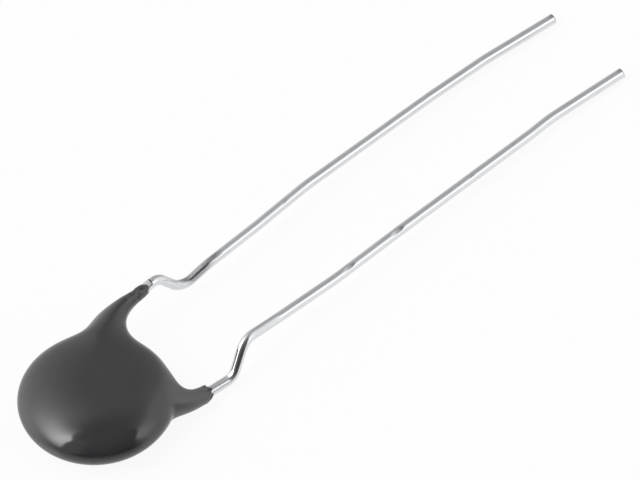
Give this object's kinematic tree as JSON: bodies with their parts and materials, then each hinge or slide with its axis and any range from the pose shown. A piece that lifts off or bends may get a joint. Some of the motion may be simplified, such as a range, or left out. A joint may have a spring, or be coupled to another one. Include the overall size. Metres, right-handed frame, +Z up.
{
  "type": "varistor",
  "caption": "Disc varistor, dip coated, with radial wire leads kinked near the body to set how deep it goes into a board.",
  "frame": {"origin": "middle of the coat's level underside, on the disc's axis, at the height of the table it lies on", "axes": "+Z up along the disc's axis, through the disc's thickness; +X from the disc towards the cut ends of the leads; +Y towards the lead that is soldered to the upper face"},
  "size_m": [0.0568, 0.012, 0.004],
  "materials": {
    "epoxy": "glossy dip-coated epoxy, dark grey",
    "zinc_oxide": "matt sintered ceramic, dark grey green",
    "silver": "matt screen-printed silver",
    "solder": "smooth tin solder",
    "tinned_copper": "hot-tinned copper wire, satin with fine draw lines"
  },
  "bodies": {
    "root": {"coating": "epoxy", "ceramic_disc": "zinc_oxide", "electrode_upper": "silver", "electrode_lower": "silver", "solder_upper": "solder", "solder_lower": "solder", "lead_upper": "tinned_copper", "lead_lower": "tinned_copper"}
  },
  "joints": []
}
